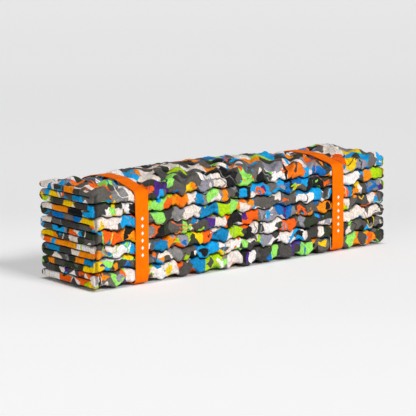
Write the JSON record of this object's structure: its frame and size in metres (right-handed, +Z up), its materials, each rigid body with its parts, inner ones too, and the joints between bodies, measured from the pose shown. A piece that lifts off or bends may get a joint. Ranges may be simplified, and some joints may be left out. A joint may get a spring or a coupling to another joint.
{
  "type": "folding foam sleeping pad",
  "caption": "Accordion-fold closed-cell foam sleeping pad with egg-crate bumps, folded into a block and held by elastic bands.",
  "frame": {"origin": "middle of the underside of the folded pack, on the ground under the bands", "axes": "+X along the pack's length, which is the mat's width; -Y is the front fold face, where the lowest panel's fold is; +Y the back; +Z up through the stack"},
  "size_m": [0.56, 0.1388, 0.1482],
  "materials": {
    "foam": "closed-cell foam pressed from scraps of many colours: charcoal, olive, cream, lilac, orange, blue, lime, yellow; satin moulded skin",
    "webbing": "orange woven elastic webbing",
    "thread": "orange polyester bar tack"
  },
  "bodies": {
    "panel_01": {"panel_01": "foam", "hinge_web_01": "foam"},
    "panel_02": {"panel_02": "foam", "hinge_web_02": "foam"},
    "panel_03": {"panel_03": "foam", "hinge_web_03": "foam"},
    "panel_04": {"panel_04": "foam", "hinge_web_04": "foam"},
    "panel_05": {"panel_05": "foam", "hinge_web_05": "foam"},
    "panel_06": {"panel_06": "foam", "hinge_web_06": "foam"},
    "panel_07": {"panel_07": "foam", "hinge_web_07": "foam"},
    "panel_08": {"panel_08": "foam", "hinge_web_08": "foam"},
    "panel_09": {"panel_09": "foam", "hinge_web_09": "foam"},
    "panel_10": {"panel_10": "foam", "hinge_web_10": "foam"},
    "panel_11": {"panel_11": "foam", "hinge_web_11": "foam"},
    "panel_12": {"panel_12": "foam", "hinge_web_12": "foam"},
    "panel_13": {"panel_13": "foam", "hinge_web_13": "foam"},
    "panel_14": {"panel_14": "foam"},
    "band_left": {"band_left": "webbing", "band_left_stitching": "thread"},
    "band_right": {"band_right": "webbing", "band_right_stitching": "thread"}
  },
  "joints": [
    {"name": "fold_01", "type": "hinge", "parent": "panel_01", "child": "panel_02", "pos_m": [0, -0.06705, 0.01562], "axis": [1, 0, 0], "range_deg": [0, 180], "deforming": ["hinge_web_01", "band_left", "band_right", "band_left_stitching", "band_right_stitching"]},
    {"name": "fold_02", "type": "hinge", "parent": "panel_02", "child": "panel_03", "pos_m": [0, 0.06705, 0.02538], "axis": [-1, 0, 0], "range_deg": [0, 180], "deforming": ["hinge_web_02"]},
    {"name": "fold_03", "type": "hinge", "parent": "panel_03", "child": "panel_04", "pos_m": [0, -0.06705, 0.03513], "axis": [1, 0, 0], "range_deg": [0, 180], "deforming": ["hinge_web_03"]},
    {"name": "fold_04", "type": "hinge", "parent": "panel_04", "child": "panel_05", "pos_m": [0, 0.06705, 0.04487], "axis": [-1, 0, 0], "range_deg": [0, 180], "deforming": ["hinge_web_04"]},
    {"name": "fold_05", "type": "hinge", "parent": "panel_05", "child": "panel_06", "pos_m": [0, -0.06705, 0.05462], "axis": [1, 0, 0], "range_deg": [0, 180], "deforming": ["hinge_web_05"]},
    {"name": "fold_06", "type": "hinge", "parent": "panel_06", "child": "panel_07", "pos_m": [0, 0.06705, 0.06438], "axis": [-1, 0, 0], "range_deg": [0, 180], "deforming": ["hinge_web_06"]},
    {"name": "fold_07", "type": "hinge", "parent": "panel_07", "child": "panel_08", "pos_m": [0, -0.06705, 0.07412], "axis": [1, 0, 0], "range_deg": [0, 180], "deforming": ["hinge_web_07"]},
    {"name": "fold_08", "type": "hinge", "parent": "panel_08", "child": "panel_09", "pos_m": [0, 0.06705, 0.08388], "axis": [-1, 0, 0], "range_deg": [0, 180], "deforming": ["hinge_web_08"]},
    {"name": "fold_09", "type": "hinge", "parent": "panel_09", "child": "panel_10", "pos_m": [0, -0.06705, 0.09362], "axis": [1, 0, 0], "range_deg": [0, 180], "deforming": ["hinge_web_09"]},
    {"name": "fold_10", "type": "hinge", "parent": "panel_10", "child": "panel_11", "pos_m": [0, 0.06705, 0.10337], "axis": [-1, 0, 0], "range_deg": [0, 180], "deforming": ["hinge_web_10"]},
    {"name": "fold_11", "type": "hinge", "parent": "panel_11", "child": "panel_12", "pos_m": [0, -0.06705, 0.11313], "axis": [1, 0, 0], "range_deg": [0, 180], "deforming": ["hinge_web_11"]},
    {"name": "fold_12", "type": "hinge", "parent": "panel_12", "child": "panel_13", "pos_m": [0, 0.06705, 0.12287], "axis": [-1, 0, 0], "range_deg": [0, 180], "deforming": ["hinge_web_12"]},
    {"name": "fold_13", "type": "hinge", "parent": "panel_13", "child": "panel_14", "pos_m": [0, -0.06705, 0.13262], "axis": [1, 0, 0], "range_deg": [0, 180], "deforming": ["hinge_web_13"]},
    {"name": "band_left_slide", "type": "slide", "parent": "panel_01", "child": "band_left", "axis": [-1, 0, 0], "range_m": [0, 0.13]},
    {"name": "band_right_slide", "type": "slide", "parent": "panel_01", "child": "band_right", "axis": [1, 0, 0], "range_m": [0, 0.13]}
  ],
  "couplings": [
    {"joint": "fold_02", "follows": "fold_01", "ratio": 1},
    {"joint": "fold_03", "follows": "fold_01", "ratio": 1},
    {"joint": "fold_04", "follows": "fold_01", "ratio": 1},
    {"joint": "fold_05", "follows": "fold_01", "ratio": 1},
    {"joint": "fold_06", "follows": "fold_01", "ratio": 1},
    {"joint": "fold_07", "follows": "fold_01", "ratio": 1},
    {"joint": "fold_08", "follows": "fold_01", "ratio": 1},
    {"joint": "fold_09", "follows": "fold_01", "ratio": 1},
    {"joint": "fold_10", "follows": "fold_01", "ratio": 1},
    {"joint": "fold_11", "follows": "fold_01", "ratio": 1},
    {"joint": "fold_12", "follows": "fold_01", "ratio": 1},
    {"joint": "fold_13", "follows": "fold_01", "ratio": 1},
    {"joint": "band_left_slide", "follows": "fold_01", "m_per_rad": 0.0413},
    {"joint": "band_right_slide", "follows": "fold_01", "m_per_rad": 0.0413}
  ]
}
